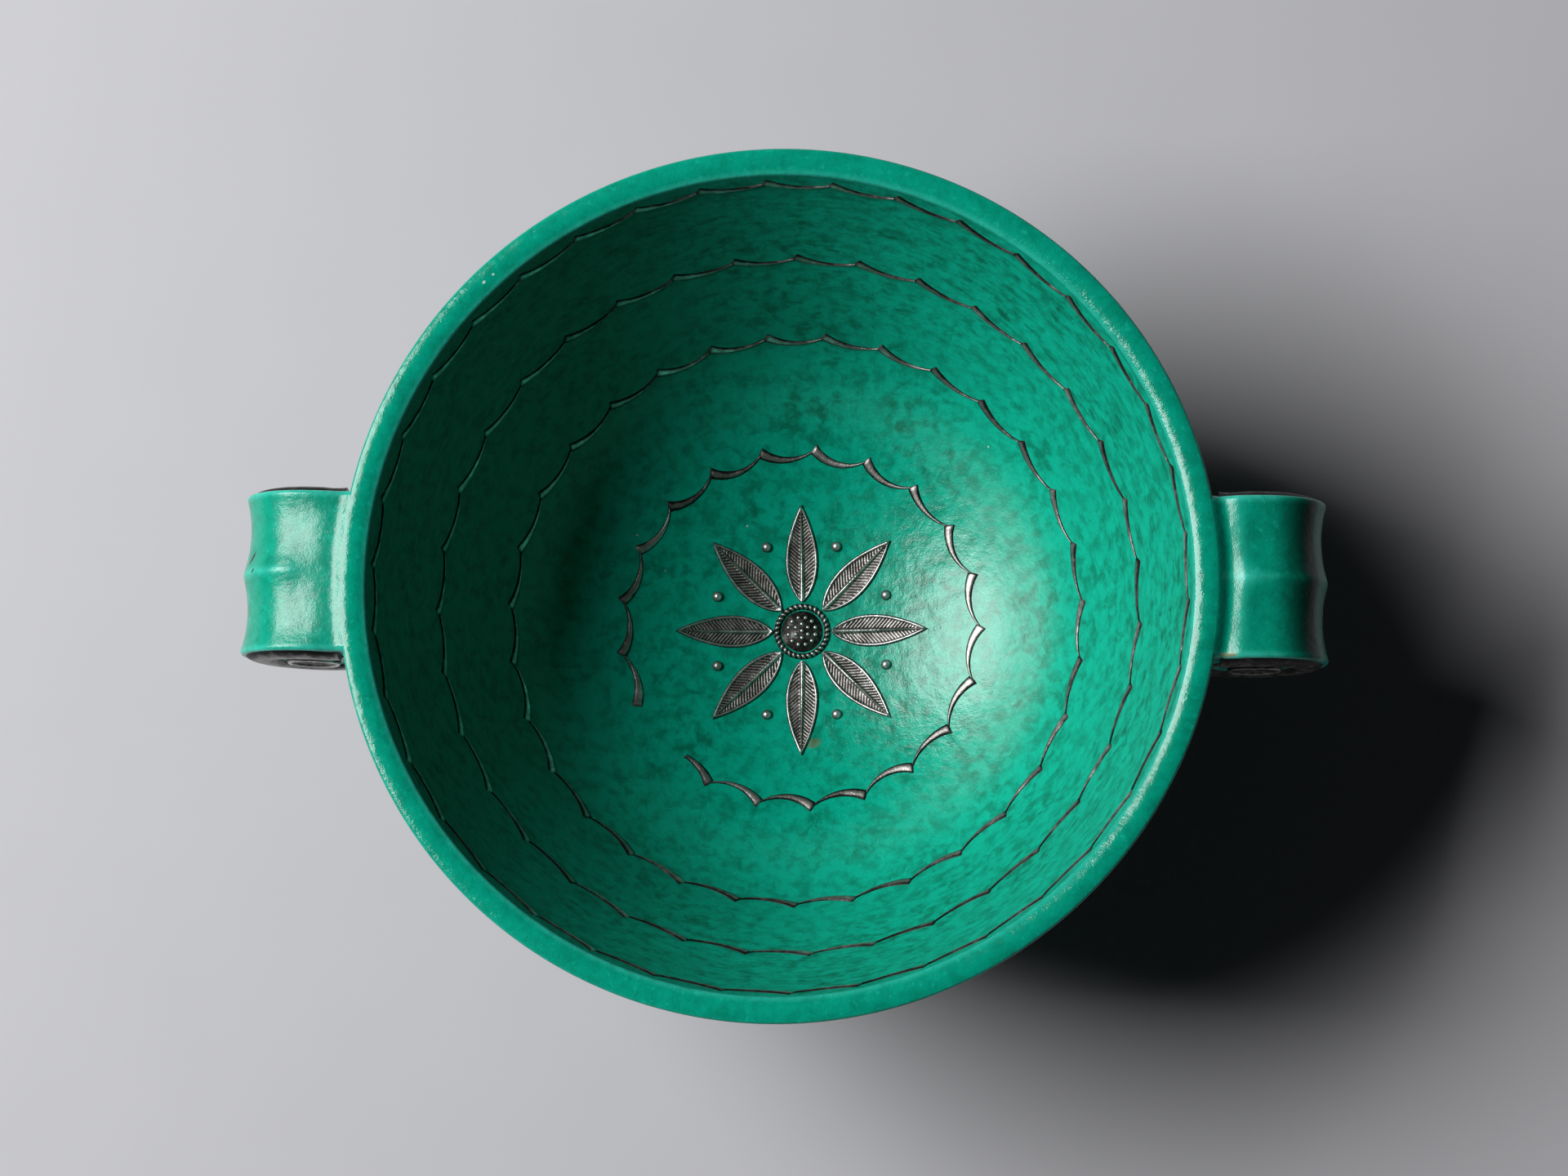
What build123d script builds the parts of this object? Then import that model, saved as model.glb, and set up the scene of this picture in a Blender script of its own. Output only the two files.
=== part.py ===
from build123d import *
from math import cos, radians, sin
import os

# A two-handled stoneware bowl with silver overlay. The round bowl stands on a foot ring, and its
# lip is cut square with rounded edges. Two thick fluted straps are rolled into scrolls and luted
# on under the lip.
# The silver is thin and raised: four scalloped rings and a rosette inside the bowl, and a coil
# with an eye on each side of both handles.
# Millimetres. Z is up, X runs along the handles, and the origin is on the table, under the
# middle of the bowl.

# The bowl: its inner face is one upright curve and one dished curve with a corner between them
rim_radius = 100.0
bowl_height = 104.0
lip_thickness = 6.2
lip_inner_round = 2.4
lip_outer_round = 1.6
wall_slope = 77.3
wall_curve = 255.0
corner_curve = 30.0
floor_curve = 121.0
floor_thickness = 7.7

# The foot ring, turned in one with the bowl. It is as wide as a share of the radius at which the
# underside turns up into the wall.
foot_share = 0.731
foot_width = 6.5
foot_recess = 5.0
foot_round = 1.5
foot_fillet = 3.0

# The handles: a fluted strap, its roll, and the root where it is luted to the wall
strap_width = 37.0
strap_drop = 0.8
scroll_radius = 17.5
scroll_stand = 7.7
flute_depth = 1.5
ridge_round = 2.5
edge_round = 1.2
root_depth = 19.0
# degrees that the left handle was luted on short of the line of the right one
left_turn = -1.9

# The scalloped silver rings: each stroke is thick at its head and thins to a tail
ring_silver = 0.35
first_ring = 46.3
last_ring_drop = 7.45
head_depth = 2.0
head_lean = 1.3
stroke_bulge = 3.1
stroke_waist = 0.9
stroke_tail = 0.4
stroke_gap = 0.3
# name, strokes, degrees that the first head is turned from +X, and the strokes worn away
ring_table = [
    ("floor", 21, -0.9, [13]),
    ("lower", 31, 2.7, []),
    ("upper", 35, -4.1, []),
    ("lip", 38, -3.0, []),
]

# The rosette in the middle of the floor
rosette_silver = 0.6
leaf_count = 8
leaf_inner_radius = 7.2
leaf_outer_radius = 31.0
leaf_width = 8.0
leaf_belly_share = 0.42
rib_silver = 1.0
rib_width = 1.0
rib_reach_share = 0.9
collar_radius = 7.0
collar_width = 1.6
collar_rise = 1.3
boss_rise = 2.0
boss_gap = 0.1
bead_radius = 1.3
bead_circle_radius = 22.5

# The silver on the sides of the handles
coil_width = 7.2
coil_rise = 1.2
eye_radius = 6.2
eye_rim = 0.9
eye_rise = 1.3
eye_dish = 0.5
# degrees round the roll from its top, and the coil's outer and inner edges as shares of the
# radius of the silver there
coil_shares = [
    (0, 1.00, 0.48),
    (45, 1.00, 0.50),
    (90, 1.00, 0.53),
    (135, 1.00, 0.56),
    (180, 0.99, 0.58),
    (225, 0.95, 0.59),
    (270, 0.86, 0.58),
    (300, 0.74, 0.55),
    (330, 0.54, 0.50),
]

# Cuts run past what they cut by this much
overrun = 5.0

# The wall is cut square at the lip, so the top of the lip slopes outwards by as much as the wall
# leans. The middle of that cut lies where the finished lip has its full height and radius.
floor_level = foot_recess + floor_thickness
lean = radians(90 - wall_slope)
lip_radius = (
    rim_radius
    - lip_outer_round * (1 - sin(lean))
    - (lip_thickness / 2 - lip_outer_round) * cos(lean)
)
lip_level = (
    bowl_height
    - lip_inner_round * (1 - cos(lean))
    - (lip_thickness / 2 - lip_inner_round) * sin(lean)
)

# The two big circles of the inner face: their centres lie on the normal to the wall at the lip,
# and on the bowl's axis
wall_arm = wall_curve + lip_thickness / 2
wall_centre = (lip_radius - wall_arm * cos(lean), lip_level + wall_arm * sin(lean))
floor_centre = (0, floor_level + floor_curve)


def dish_section(wall_out, floor_out):
    """Half section of the space inside the inner face, with that face moved outwards."""
    with BuildSketch() as section:
        with Locations(floor_centre):
            Circle(floor_curve + floor_out)
        with Locations(wall_centre):
            Circle(wall_curve + wall_out, mode=Mode.INTERSECT)
        Rectangle(2 * rim_radius, bowl_height, align=Align.MIN, mode=Mode.INTERSECT)
        corner = section.vertices().sort_by(Axis.Y)[1]
        fillet(corner, corner_curve + wall_out)
    return section.sketch


def turned(section):
    """A half section turned round the bowl's axis."""
    with BuildPart() as solid:
        with BuildSketch(Plane.XZ):
            add(section)
        revolve(axis=Axis.Z)
    return solid.part


hollow_section = dish_section(0, 0)
body_section = dish_section(lip_thickness, floor_thickness)
foot_radius = foot_share * body_section.vertices().sort_by(Axis.Y)[1].X
hollow_form = turned(hollow_section)
body_form = turned(body_section)


def silver_skin(thickness):
    """A skin of silver all over the inner face, from which the pieces of overlay are cut."""
    with BuildPart() as skin:
        add(hollow_form)
        add(turned(dish_section(-thickness, -thickness)), mode=Mode.SUBTRACT)
    return skin.part


# Bowl: stoneware, turned as one section with its foot ring and its lip
with BuildPart() as bowl:
    with BuildSketch(Plane.XZ) as bowl_section:
        add(body_section)
        with Locations((foot_radius - foot_width, 0)):
            Rectangle(foot_width, bowl_height / 2, align=Align.MIN)
        foot_side = bowl_section.edges().filter_by(Axis.Y).sort_by(Axis.X)[-1]
        fillet(foot_side.vertices().sort_by(Axis.Y)[-1], foot_fillet)
        fillet(bowl_section.vertices().group_by(Axis.Y)[0], foot_round)
        add(hollow_section, mode=Mode.SUBTRACT)
        with Locations(Location((lip_radius, lip_level), wall_slope - 90)):
            Rectangle(
                2 * lip_thickness,
                lip_thickness,
                align=(Align.CENTER, Align.MIN),
                mode=Mode.SUBTRACT,
            )
        fillet(bowl_section.vertices().sort_by(Axis.Y)[-1], lip_inner_round)
        fillet(bowl_section.vertices().sort_by(Axis.X)[-1], lip_outer_round)
    revolve(axis=Axis.Z)
bowl.part.label = "bowl"

# Handle: the fluted strap section is turned about the scroll's axis, from the top of the roll
# outwards, down and under, and run back from the top into the wall. The root is then cut to the
# wall that it is luted to.
scroll_reach = rim_radius + scroll_stand
scroll_level = bowl_height - strap_drop - scroll_radius
scroll_plane = Plane(
    origin=(scroll_reach, 0, scroll_level), x_dir=(0, 1, 0), z_dir=(1, 0, 0)
)
scroll_axis = Axis((scroll_reach, 0, scroll_level), (0, 1, 0))
half_strap = strap_width / 2
root_run = scroll_stand + root_depth


def strap_section(depth):
    """The strap's cross section from its fluted face down to a depth below it."""
    with BuildSketch() as section:
        with BuildLine():
            back_flute = ThreePointArc(
                (-half_strap, scroll_radius),
                (-half_strap / 2, scroll_radius - flute_depth),
                (0, scroll_radius),
            )
            front_flute = ThreePointArc(
                (0, scroll_radius),
                (half_strap / 2, scroll_radius - flute_depth),
                (half_strap, scroll_radius),
            )
            Polyline(
                front_flute @ 1,
                (half_strap, scroll_radius - depth),
                (-half_strap, scroll_radius - depth),
                back_flute @ 0,
            )
        make_face()
        crests = section.vertices().group_by(Axis.Y)[-1].sort_by(Axis.X)
        fillet(crests[1], ridge_round)
        edges = section.vertices().group_by(Axis.Y)[-1].sort_by(Axis.X)
        fillet([edges[0], edges[-1]], edge_round)
    return section.sketch


with BuildPart() as handle_right:
    with BuildSketch(scroll_plane):
        add(strap_section(scroll_radius))
    revolve(axis=scroll_axis, revolution_arc=270)
    with BuildSketch(scroll_plane):
        add(strap_section(root_depth))
    extrude(amount=-root_run)
    add(body_form, mode=Mode.SUBTRACT)
handle_right.part.label = "handle_right"

with BuildPart() as handle_left:
    add(handle_right.part.mirror(Plane.YZ).rotate(Axis.Z, left_turn))
handle_left.part.label = "handle_left"

# Silver coil on the side of a handle: a rounded band that runs in along the strap from the wall,
# round the roll, and on inwards as it narrows. Each section is a low arch standing on the side.
silver_radius = scroll_radius - edge_round


def coil_plane(angle, reach):
    """Plane across the coil at an angle round the roll, with y pointing out of the front side."""
    turn = radians(angle)
    return Plane(
        origin=(scroll_reach + reach * sin(turn), -half_strap, scroll_level + reach * cos(turn)),
        x_dir=(sin(turn), 0, cos(turn)),
        z_dir=(cos(turn), 0, -sin(turn)),
    )


def coil_arch(angle, outer_share, inner_share):
    """The coil's section there, as wide as its two edges allow and as high in proportion."""
    half_width = silver_radius * (outer_share - inner_share) / 2
    height = coil_rise * 2 * half_width / coil_width
    middle = silver_radius * (outer_share + inner_share) / 2
    with BuildSketch(coil_plane(angle, middle)) as section:
        with BuildLine():
            arch = ThreePointArc((-half_width, 0), (0, height), (half_width, 0))
            Line(arch @ 1, arch @ 0)
        make_face()
    return section.sketch


with BuildPart() as coil:
    loft([coil_arch(*place) for place in coil_shares])
    extrude(coil_arch(*coil_shares[0]), amount=root_run, dir=(-1, 0, 0))
    add(body_form, mode=Mode.SUBTRACT)

# Silver eye in the middle of the roll: a disc dished inside a raised rim
with BuildPart() as eye:
    with BuildSketch(coil_plane(90, 0)):
        with BuildLine():
            Polyline((0, eye_rise - eye_dish), (0, 0), (eye_radius, 0), (eye_radius, eye_rise / 2))
            ThreePointArc(
                (eye_radius, eye_rise / 2),
                (eye_radius - eye_rim / 2, eye_rise),
                (eye_radius - eye_rim, eye_rise - eye_dish),
            )
            Line((eye_radius - eye_rim, eye_rise - eye_dish), (0, eye_rise - eye_dish))
        make_face()
    revolve(axis=scroll_axis)

# Each side of each handle has the same coil and eye, mirrored
handle_sides = {
    "right_front": ([], 0),
    "right_back": ([Plane.XZ], 0),
    "left_front": ([Plane.YZ], left_turn),
    "left_back": ([Plane.XZ, Plane.YZ], left_turn),
}
side_silver = []
for side, (mirrors, turn) in handle_sides.items():
    for kind, first in (("coil", coil), ("eye", eye)):
        with BuildPart() as copy:
            add(first.part)
            for about in mirrors:
                mirror(about=about, mode=Mode.REPLACE)
        placed = copy.part.rotate(Axis.Z, turn)
        placed.label = f"scroll_{kind}_{side}"
        side_silver.append(placed)

# Scalloped rings: strokes cut from the silver skin. Each hangs between two points of a ring, with
# its thick head at one point and its tail at the heel of the next head.
inner_face = Wire(hollow_section.edges().filter_by(GeomType.CIRCLE))
rings_length = inner_face.length - first_ring - last_ring_drop
ring_spacing = rings_length / (len(ring_table) - 1)
ring_skin = silver_skin(ring_silver)


def stroke(distance, count):
    """One stroke of a ring that lies that far up the inner face from the middle of the floor."""
    foot = inner_face.position_at(distance, position_mode=PositionMode.LENGTH)
    slope = inner_face.tangent_at(distance, position_mode=PositionMode.LENGTH)
    half_turn = 180 / count
    half_span = foot.X * sin(radians(half_turn))
    crest = -foot.X * (1 - cos(radians(half_turn))) * slope.X
    swing = half_turn * slope.X
    head = Vector(-half_span, crest)
    lean = Vector(-head_lean, -head_depth)
    heel = head + lean.rotate(Axis.Z, swing)
    next_heel = Vector(half_span, crest) + lean.rotate(Axis.Z, -swing)
    tail = next_heel - Vector(stroke_gap, 0)
    belly = Vector((head.X + tail.X) / 2, crest - stroke_bulge)
    wall_plane = Plane(
        origin=(foot.X, 0, foot.Y), x_dir=(0, -1, 0), z_dir=(-slope.Y, 0, slope.X)
    )
    with BuildPart() as piece:
        with BuildSketch(wall_plane):
            with BuildLine():
                upper = ThreePointArc(head, belly, tail + Vector(0, stroke_tail))
                lower = ThreePointArc(heel, belly - Vector(head_lean, stroke_waist), tail)
                Line(upper @ 0, lower @ 0)
                Line(upper @ 1, lower @ 1)
            make_face()
        extrude(amount=overrun, both=True)
        add(ring_skin, mode=Mode.INTERSECT)
    return piece.part


rings = []
for step, (name, count, turn, worn) in enumerate(ring_table):
    piece = stroke(first_ring + step * ring_spacing, count)
    pitch = 360 / count
    places = PolarLocations(0, count, start_angle=turn - pitch / 2).locations
    with BuildPart() as ring:
        with Locations([place for spot, place in enumerate(places) if spot not in worn]):
            add(piece)
    ring.part.label = f"scallop_ring_{name}"
    rings.append(ring.part)

# Rosette: leaves with a raised rib, cut from a thicker skin, round a collar and a boss
floor_plane = Plane.XY.offset(floor_level)
leaf_length = leaf_outer_radius - leaf_inner_radius
with BuildPart() as leaf_blade:
    with BuildSketch(floor_plane):
        with BuildLine():
            edge = Spline(
                (leaf_inner_radius, 0),
                (leaf_inner_radius + leaf_belly_share * leaf_length, leaf_width / 2),
                (leaf_outer_radius, 0),
            )
            mirror(edge, about=Plane.XZ)
        make_face()
    extrude(amount=overrun, both=True)
    add(silver_skin(rosette_silver), mode=Mode.INTERSECT)

with BuildPart() as leaf_rib:
    with BuildSketch(floor_plane):
        with BuildLine():
            Polyline(
                (leaf_inner_radius, rib_width / 2),
                (leaf_inner_radius + rib_reach_share * leaf_length, 0),
                (leaf_inner_radius, -rib_width / 2),
                close=True,
            )
        make_face()
    extrude(amount=overrun, both=True)
    add(silver_skin(rib_silver), mode=Mode.INTERSECT)

with BuildPart() as leaves:
    with PolarLocations(0, leaf_count):
        add(leaf_blade.part)
        add(leaf_rib.part)
leaves.part.label = "rosette_leaves"

# Beads: round grains of silver between the leaves, let into the floor
bead_level = floor_level + floor_curve - (floor_curve**2 - bead_circle_radius**2) ** 0.5
with BuildPart() as beads:
    with Locations((0, 0, bead_level)):
        with PolarLocations(bead_circle_radius, leaf_count, start_angle=180 / leaf_count):
            Sphere(bead_radius)
    add(hollow_form, mode=Mode.INTERSECT)
beads.part.label = "rosette_beads"

# Collar and boss: a ring with a rounded top, and a low dome inside it
collar_middle = collar_radius - collar_width / 2
collar_side = floor_level + collar_rise / 2
with BuildPart() as collar:
    with BuildSketch(Plane.XZ):
        with BuildLine():
            bead = ThreePointArc(
                (collar_radius - collar_width, collar_side),
                (collar_middle, floor_level + collar_rise),
                (collar_radius, collar_side),
            )
            Polyline(
                bead @ 1,
                (collar_radius, floor_level - overrun),
                (collar_radius - collar_width, floor_level - overrun),
                bead @ 0,
            )
        make_face()
    revolve(axis=Axis.Z)
    add(hollow_form, mode=Mode.INTERSECT)
collar.part.label = "rosette_collar"

boss_radius = collar_radius - collar_width - boss_gap
with BuildPart() as boss:
    with BuildSketch(Plane.XZ):
        with BuildLine():
            dome = ThreePointArc(
                (-boss_radius, floor_level), (0, floor_level + boss_rise), (boss_radius, floor_level)
            )
            Polyline(
                dome @ 1,
                (boss_radius, floor_level - overrun),
                (-boss_radius, floor_level - overrun),
                dome @ 0,
            )
        make_face()
        split(bisect_by=Plane.YZ)
    revolve(axis=Axis.Z)
    add(hollow_form, mode=Mode.INTERSECT)
boss.part.label = "rosette_boss"

stoneware = [bowl.part, handle_left.part, handle_right.part]
rosette = [leaves.part, beads.part, collar.part, boss.part]
os.makedirs("parts", exist_ok=True)
for piece in stoneware + rings + rosette + side_silver:
    export_step(piece, f"parts/{piece.label}.step")
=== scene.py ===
from bisect import bisect
from math import asin, atan2, cos, degrees, hypot, pi, radians, sin, sqrt
import random

import bmesh
import bpy
from mathutils import Matrix, Vector
from mathutils.geometry import intersect_sphere_sphere_2d


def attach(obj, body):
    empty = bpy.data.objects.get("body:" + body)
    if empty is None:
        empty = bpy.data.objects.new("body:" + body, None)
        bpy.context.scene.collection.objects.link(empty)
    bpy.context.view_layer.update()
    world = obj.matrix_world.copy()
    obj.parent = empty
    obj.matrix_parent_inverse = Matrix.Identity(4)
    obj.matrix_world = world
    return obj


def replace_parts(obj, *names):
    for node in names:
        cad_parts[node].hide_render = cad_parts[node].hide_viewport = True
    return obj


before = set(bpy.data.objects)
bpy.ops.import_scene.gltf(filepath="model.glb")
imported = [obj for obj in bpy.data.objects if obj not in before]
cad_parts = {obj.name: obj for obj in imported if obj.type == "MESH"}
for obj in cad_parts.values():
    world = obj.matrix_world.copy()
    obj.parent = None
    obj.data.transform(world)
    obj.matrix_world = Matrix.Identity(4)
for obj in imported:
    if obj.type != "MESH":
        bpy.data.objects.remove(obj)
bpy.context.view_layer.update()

# Camera
# It stands a metre above the bowl and looks almost straight down, from a little in front.
rim_middle = Vector((0, 0, 0.104))
camera_stand = Vector((0.0693, -0.1402, 0.9877))
camera_back = camera_stand.normalized()
camera_right = Vector((0, 1, 0)).cross(camera_back).normalized()
camera_up = camera_back.cross(camera_right)
camera_data = bpy.data.cameras.new("camera")
camera_data.lens = 101.6
camera_data.sensor_width = 36
camera_data.shift_x = 9.4 / 1920
camera_data.shift_y = -10 / 1920
camera = bpy.data.objects.new("camera", camera_data)
camera.matrix_world = (
    Matrix.Translation(rim_middle + camera_stand)
    @ Matrix((camera_right, camera_up, camera_back)).transposed().to_4x4()
)
bpy.context.scene.collection.objects.link(camera)
bpy.context.scene.camera = camera
bpy.context.scene.view_settings.view_transform = "Standard"


# Shader nodes
# The same few steps build every material: a node with its inputs, a sum, a noise, a soft step
# and a mix of two colours.
def add_node(tree, kind, inputs=(), **settings):
    node = tree.nodes.new(kind)
    for name, value in settings.items():
        setattr(node, name, value)
    for name, value in dict(inputs).items():
        if isinstance(value, bpy.types.NodeSocket):
            tree.links.new(value, node.inputs[name])
        else:
            node.inputs[name].default_value = value
    return node


def compute(tree, operation, *values):
    return add_node(tree, "ShaderNodeMath", dict(enumerate(values)), operation=operation).outputs[0]


def noise(tree, vector, scale, detail=2.0, roughness=0.5, distortion=0.0):
    settings = {
        "Vector": vector,
        "Scale": scale,
        "Detail": detail,
        "Roughness": roughness,
        "Distortion": distortion,
    }
    return add_node(tree, "ShaderNodeTexNoise", settings).outputs["Fac"]


def soft_step(tree, value, start, end, low=0.0, high=1.0):
    settings = {0: value, 1: start, 2: end, 3: low, 4: high}
    kind = "SMOOTHSTEP"
    return add_node(tree, "ShaderNodeMapRange", settings, interpolation_type=kind).outputs[0]


def mix(tree, share, first, second):
    settings = {0: share, 6: first, 7: second}
    return add_node(tree, "ShaderNodeMix", settings, data_type="RGBA").outputs[2]


def new_group(name, inputs, outputs):
    tree = bpy.data.node_groups.new(name, "ShaderNodeTree")
    for title in inputs:
        tree.interface.new_socket(title, in_out="INPUT", socket_type="NodeSocketFloat")
    for title in outputs:
        kind = "NodeSocketColor" if title == "Color" else "NodeSocketFloat"
        tree.interface.new_socket(title, in_out="OUTPUT", socket_type=kind)
    return tree


def group_material(name, tree, inputs, settings, depth, bounce_share=1.0):
    """A material whose colour, roughness and relief come from a group.

    Diffuse rays that bounce off it see its colour darkened to a share of itself: painted shade,
    which deepens the unlit side beyond what the colour alone gives.
    """
    material = bpy.data.materials.new(name)
    material.use_nodes = True
    nodes = material.node_tree
    nodes.nodes.clear()
    surface = add_node(nodes, "ShaderNodeGroup", node_tree=tree)
    for title, attribute in inputs.items():
        source = add_node(nodes, "ShaderNodeAttribute", attribute_name=attribute)
        nodes.links.new(source.outputs["Fac"], surface.inputs[title])
    bump = add_node(
        nodes,
        "ShaderNodeBump",
        {"Height": surface.outputs["Height"], "Distance": depth, "Strength": 1.0},
    )
    color = surface.outputs["Color"]
    # painted shade: bounced light is dimmed to the bounce share
    if bounce_share < 1:
        bounce_ray = add_node(nodes, "ShaderNodeLightPath").outputs["Is Diffuse Ray"]
        share = compute(nodes, "MULTIPLY", bounce_ray, 1 - bounce_share)
        color = mix(nodes, share, color, (0, 0, 0, 1))
    shader = add_node(
        nodes,
        "ShaderNodeBsdfPrincipled",
        {
            "Base Color": color,
            "Roughness": surface.outputs["Roughness"],
            "Normal": bump.outputs["Normal"],
            **settings,
        },
    )
    add_node(nodes, "ShaderNodeOutputMaterial", {"Surface": shader.outputs["BSDF"]})
    return material


# Glaze
# A green satin glaze of uneven depth: darker where it pooled in soft blotches, drawn out along the
# throwing lines high on the wall, thin and pale where it broke over an edge, and finely crazed.
# The input says how thin the glaze ran at a point, and where a highlight is painted on the right
# handle's root; below zero it is painted shade on that handle's outer roll.
glaze = new_group("mottled_glaze", ["Break_and_light"], ["Color", "Roughness", "Height"])
glaze_in = add_node(glaze, "NodeGroupInput")
place = add_node(glaze, "ShaderNodeTexCoord").outputs["Object"]
axes = add_node(glaze, "ShaderNodeSeparateXYZ", {0: place}).outputs
out = compute(
    glaze,
    "SQRT",
    compute(
        glaze,
        "ADD",
        compute(glaze, "MULTIPLY", axes[0], axes[0]),
        compute(glaze, "MULTIPLY", axes[1], axes[1]),
    ),
)
thrown = add_node(
    glaze,
    "ShaderNodeCombineXYZ",
    {
        0: compute(glaze, "DIVIDE", axes[0], out),
        1: compute(glaze, "DIVIDE", axes[1], out),
        2: compute(glaze, "MULTIPLY", axes[2], 48.0),
    },
).outputs[0]
on_wall = compute(
    glaze, "MULTIPLY", soft_step(glaze, axes[2], 0.04, 0.068), soft_step(glaze, out, 0.102, 0.099)
)
on_side = soft_step(glaze, out, 0.044, 0.056)
on_handle = soft_step(glaze, out, 0.1, 0.102)
on_edge = compute(glaze, "MAXIMUM", on_handle, soft_step(glaze, axes[2], 0.1005, 0.103))

# soft blotches, gathered in patches, and streaks along the throwing lines; fewer on the edges
blotch = soft_step(glaze, noise(glaze, place, 290, 4, 0.6, 0.3), 0.38, 0.68)
patch = soft_step(glaze, noise(glaze, place, 60, 3, 0.6, 0.6), 0.36, 0.7)
streaked = compute(glaze, "MAXIMUM", on_wall, soft_step(glaze, axes[2], 0.1, 0.102))
streak = compute(
    glaze, "MULTIPLY", streaked, soft_step(glaze, noise(glaze, thrown, 13, 3, 0.6), 0.46, 0.66)
)
pooled = compute(
    glaze,
    "ADD",
    compute(glaze, "MULTIPLY", blotch, compute(glaze, "MULTIPLY_ADD", patch, 0.3, 0.42)),
    compute(glaze, "MULTIPLY", streak, 0.32),
)
pooled = compute(glaze, "MULTIPLY", pooled, compute(glaze, "MULTIPLY_ADD", on_edge, -0.32, 1.0))
glaze_color = mix(glaze, pooled, (0.001, 0.43, 0.28, 1), (0.001, 0.11, 0.055, 1))
denser = compute(glaze, "MULTIPLY", on_edge, 0.55)
glaze_color = mix(glaze, denser, glaze_color, (0.001, 0.21, 0.135, 1))

# small pale flecks, the dark net of the crazing, and the edges where the glaze ran thin
flecks = soft_step(glaze, noise(glaze, place, 520, 2, 0.5), 0.6, 0.72)
flecks = compute(glaze, "MULTIPLY", flecks, 0.3)
glaze_color = mix(glaze, flecks, glaze_color, (0.01, 0.52, 0.37, 1))
crazing = add_node(
    glaze, "ShaderNodeTexVoronoi", {"Vector": place, "Scale": 430.0}, feature="DISTANCE_TO_EDGE"
).outputs["Distance"]
crazed = compute(glaze, "MULTIPLY", soft_step(glaze, crazing, 0.05, 0.0), 0.16)
glaze_color = mix(glaze, crazed, glaze_color, (0.001, 0.07, 0.04, 1))
# pale where the glaze ran thin, and a painted highlight on the root of the right handle
thin_and_lit = compute(
    glaze,
    "MULTIPLY",
    glaze_in.outputs["Break_and_light"],
    soft_step(glaze, noise(glaze, place, 330, 3, 0.65), 0.25, 0.6, 0.45, 1.0),
)
glaze_color = mix(glaze, thin_and_lit, glaze_color, (0.05, 0.58, 0.46, 1))
# painted shade: the outer roll of the right handle, turned away from the lamp, is darkened
deep = compute(glaze, "MULTIPLY", glaze_in.outputs["Break_and_light"], -1.0)
glaze_color = mix(glaze, deep, glaze_color, (0.001, 0.03, 0.018, 1))

# a few pinholes
specks = add_node(glaze, "ShaderNodeTexVoronoi", {"Vector": place, "Scale": 150.0}, feature="F1")
chance = add_node(glaze, "ShaderNodeSeparateColor", {0: specks.outputs["Color"]}).outputs[0]
rare = soft_step(glaze, chance, 0.9, 0.92)
dots = compute(
    glaze, "MULTIPLY", rare, soft_step(glaze, specks.outputs["Distance"], 0.045, 0.025)
)
glaze_color = mix(glaze, compute(glaze, "MULTIPLY", dots, 0.8), glaze_color, (0.6, 0.72, 0.66, 1))

# two scratches on the left handle, a rust stain on the floor, two chips at the back left of the
# lip and a rusty seam at the front of the right handle: place, turn, size, strength and colour;
# each reaches straight down, so the chips show once more on the outer wall under them
for spot, turn, size, strength, stain in (
    ((-0.1213, 0.0074, 0), 57, (0.0021, 0.0004, 1), 0.95, (0.002, 0.006, 0.004, 1)),
    ((-0.1209, 0.0043, 0), 60, (0.0008, 0.0003, 1), 0.9, (0.002, 0.006, 0.004, 1)),
    ((0.003, -0.028, 0), 20, (0.0024, 0.0015, 1), 0.45, (0.2, 0.09, 0.02, 1)),
    ((-0.0672, 0.0696, 0), 45, (0.0006, 0.00035, 1), 0.85, (0.6, 0.7, 0.66, 1)),
    ((-0.0651, 0.0714, 0), 20, (0.0004, 0.0003, 1), 0.85, (0.6, 0.7, 0.66, 1)),
    ((0.1016, -0.0177, 0), 0, (0.0026, 0.0007, 1), 0.6, (0.3, 0.18, 0.05, 1)),
):
    settings = {"Vector": place, "Location": spot, "Rotation": (0, 0, radians(turn)), "Scale": size}
    marked = add_node(glaze, "ShaderNodeMapping", settings, vector_type="TEXTURE").outputs[0]
    lengths = add_node(glaze, "ShaderNodeVectorMath", {0: marked}, operation="LENGTH").outputs
    ragged = compute(glaze, "MULTIPLY_ADD", noise(glaze, place, 1500, 2), 0.5, lengths["Value"])
    share = soft_step(glaze, ragged, 1.2, 0.8, 0.0, strength)
    glaze_color = mix(glaze, share, glaze_color, stain)

# glossy where it pooled on the floor and on the lip, more matt on the wall and the handles
grain = noise(glaze, place, 900, 2, 0.6)
matt = compute(glaze, "MULTIPLY_ADD", on_side, 0.2, compute(glaze, "MULTIPLY", on_handle, 0.1))
uneven = compute(glaze, "MULTIPLY", noise(glaze, place, 110, 2, 0.5), 2.2)
glaze_height = compute(
    glaze,
    "ADD",
    compute(glaze, "MULTIPLY", noise(glaze, place, 2600, 2, 0.5), 0.4),
    compute(glaze, "MULTIPLY_ADD", noise(glaze, place, 300, 3, 0.6), 1.7, uneven),
)
add_node(
    glaze,
    "NodeGroupOutput",
    {
        "Color": glaze_color,
        "Roughness": compute(
            glaze,
            "ADD",
            compute(glaze, "MULTIPLY_ADD", grain, 0.16, 0.13),
            compute(glaze, "MULTIPLY_ADD", on_edge, -0.27, matt),
        ),
        "Height": glaze_height,
    },
)
# its last number is the bounce share, painted shade that dims the light the glaze throws back
green_glaze = group_material(
    "green_glaze", glaze, {"Break_and_light": "glaze_break_and_light"}, {"IOR": 1.41}, 0.0001, 0.22
)

# Bowl
# One piece of wheel-thrown stoneware with its foot ring. The inner face is a dished floor, a tight
# corner and a slightly bellied wall; the lip was cut square, then domed and its edges rounded.
rim_radius = 0.1
bowl_height = 0.104
lip_thickness = 0.0062
# the rounds that a square lip would have; they set where the two faces of the wall end
inner_round = 0.0024
outer_round = 0.0016
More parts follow.
